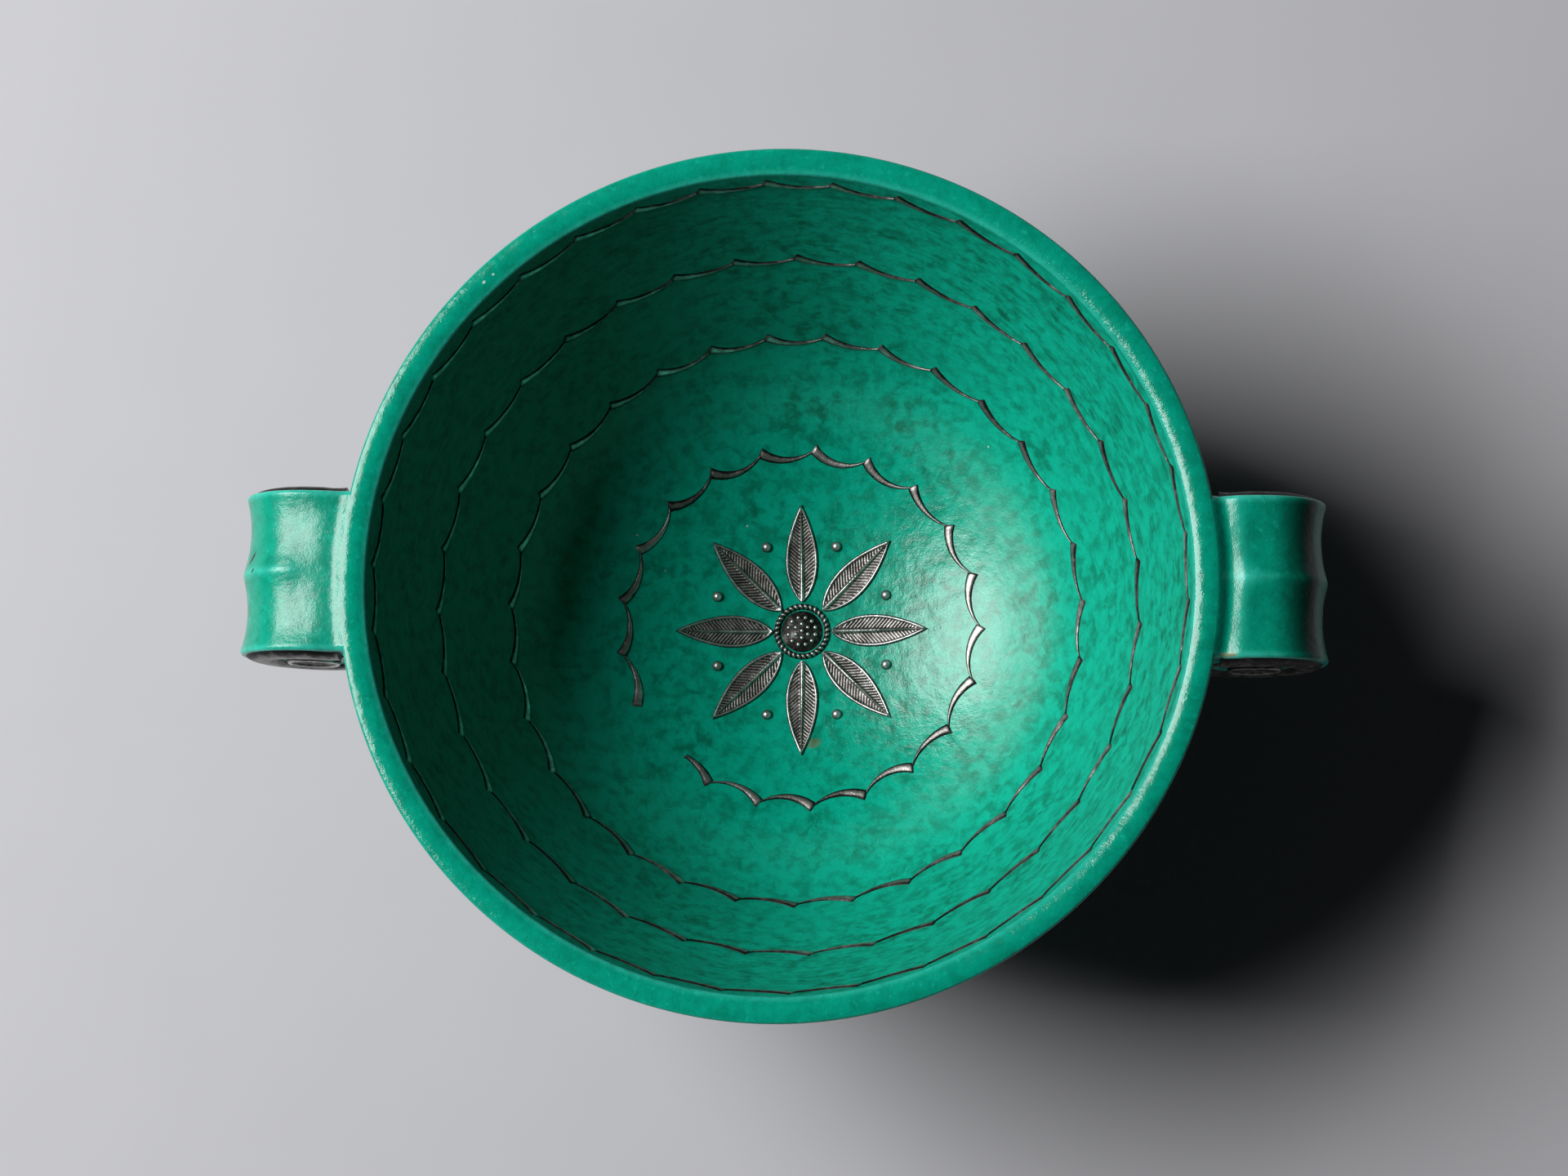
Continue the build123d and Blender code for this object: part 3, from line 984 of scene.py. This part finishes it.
def build_coil(name, side, face):
    """The arched band on one side of one scroll; its back lies just under the strap's side."""
    mesh_data = bmesh.new()
    layer = mesh_data.verts.layers.float.new("wear")
    grid = []
    for outer, inner in coil_pairs:
        width = (outer - inner).length
        row = []
        for spot in range(13):
            share = spot / 12
            arch = sin(pi * share) ** 0.7 if 0 < spot < 12 else 0
            point = outer.lerp(inner, share)
            lift = band_rise * width / band_width * arch + (0 if 0 < spot < 12 else sunk)
            vert = mesh_data.verts.new((side * point[0], face * (half_strap + lift), point[1]))
            wear = 0.06 + 0.5 * sin(pi * share) - 0.35 * max(0, 0.35 - share)
            # painted shade: the silver on the right scroll, away from the lamp, is darkened by
            # halving its wear
            vert[layer] = max(0, wear) * (1 if side < 0 else 0.5)
            row.append(vert)
        grid.append(row)
    lay_faces(mesh_data, grid)
    for left, right in zip(grid, grid[1:]):
        mesh_data.faces.new((left[0], right[0], right[-1], left[-1]))
    mesh_data.faces.new(grid[0])
    mesh_data.faces.new(grid[-1])
    set_left(mesh_data, side)
    coil = piece_from(name, mesh_data, scroll_silver, 70)
    return coil


def build_eye(name, side, face):
    """The dished disc in the middle of one side; each ring is a radius, a height and a wear."""
    mesh_data = bmesh.new()
    layer = mesh_data.verts.layers.float.new("wear")
    steps = 144
    rings = [
        (0.0004, 0.0007, 0.6),
        (0.001, 0.0005, 0.3),
        (0.0022, 0.0004, 0.4),
        (0.0034, 0.00045, 0.45),
        (0.0046, 0.0006, 0.4),
        (0.0051, 0.0008, 0.2),
        (0.0054, 0.0011, 0.8),
        (0.0057, 0.00128, 1.0),
        (0.006, 0.0011, 0.8),
        (0.0062, 0.0006, 0.2),
        (0.0062, sunk, 0.0),
    ]
    lines = 36
    line_start = 0.0008
    line_end = 0.0046
    line_depth = 0.00012
    middle_lift = 0.0008
    middle = mesh_data.verts.new(
        (side * roll_middle[0], face * (half_strap + middle_lift), roll_middle[1])
    )
    middle[layer] = 0.8
    grid = []
    for radius, height, wear in rings:
        row = []
        for step in range(steps):
            turn = 2 * pi * step / steps
            line = 0.5 + 0.5 * cos(lines * turn)
            lined = 1 if line_start < radius < line_end else 0
            lift = height - line_depth * line * lined
            vert = mesh_data.verts.new(
                (
                    side * (roll_middle[0] + radius * cos(turn)),
                    face * (half_strap + lift),
                    roll_middle[1] + radius * sin(turn),
                )
            )
            # painted shade: the right eye, away from the lamp, is darkened by halving its wear
            vert[layer] = wear * (1 - 0.8 * line * lined) * (1 if side < 0 else 0.5)
            row.append(vert)
        grid.append(row)
    for step in range(steps):
        after = (step + 1) % steps
        mesh_data.faces.new((middle, grid[0][step], grid[0][after]))
        for inner, outer in zip(grid, grid[1:]):
            mesh_data.faces.new((inner[step], outer[step], outer[after], inner[after]))
    mesh_data.faces.new(grid[-1])
    set_left(mesh_data, side)
    eye = piece_from(name, mesh_data, scroll_silver, 70)
    return eye


for side_name, side in (("left", -1), ("right", 1)):
    for face_name, face in (("front", -1), ("back", 1)):
        where = f"{side_name}_{face_name}"
        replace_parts(build_coil(f"silver_coil_{where}", side, face), f"scroll_coil_{where}")
        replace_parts(build_eye(f"silver_eye_{where}", side, face), f"scroll_eye_{where}")

# Table and light
# A plain pale table top, one large soft lamp from the left, and almost no light from elsewhere.
table_half = 4
table_mesh = bmesh.new()
bmesh.ops.create_grid(table_mesh, x_segments=1, y_segments=1, size=table_half)
table_data = bpy.data.meshes.new("table_top")
table_mesh.to_mesh(table_data)
table_mesh.free()
table = bpy.data.objects.new("table_top", table_data)
bpy.context.scene.collection.objects.link(table)
table_material = bpy.data.materials.new("table_top")
table_material.use_nodes = True
table_tree = table_material.node_tree
table_place = add_node(table_tree, "ShaderNodeTexCoord").outputs["Object"]
table_shader = table_tree.nodes["Principled BSDF"]
table_shader.inputs["Roughness"].default_value = 0.7
table_shader.inputs["Specular IOR Level"].default_value = 0.2
cloudy_table = noise(table_tree, table_place, 30, 3)
table_color = mix(table_tree, cloudy_table, (0.5, 0.5, 0.525, 1), (0.52, 0.52, 0.545, 1))
table_tree.links.new(table_color, table_shader.inputs["Base Color"])
table_data.materials.append(table_material)

lamp_data = bpy.data.lights.new("key_lamp", "AREA")
lamp_data.shape = "RECTANGLE"
lamp_data.size = 0.95
lamp_data.size_y = 0.86
lamp_data.energy = 35.5
lamp = bpy.data.objects.new("key_lamp", lamp_data)
lamp.location = (-1.05, 0.26, 1.18)
lamp.rotation_euler = (Vector((0, 0, 0.05)) - lamp.location).to_track_quat("-Z", "Y").to_euler()
bpy.context.scene.collection.objects.link(lamp)

world = bpy.data.worlds.new("studio")
bpy.context.scene.world = world
world.use_nodes = True
world_tree = world.node_tree
seen = add_node(world_tree, "ShaderNodeLightPath").outputs["Is Camera Ray"]
world_color = mix(world_tree, seen, (0.009, 0.009, 0.01, 1), (0.6, 0.6, 0.62, 1))
world_tree.links.new(world_color, world_tree.nodes["Background"].inputs["Color"])
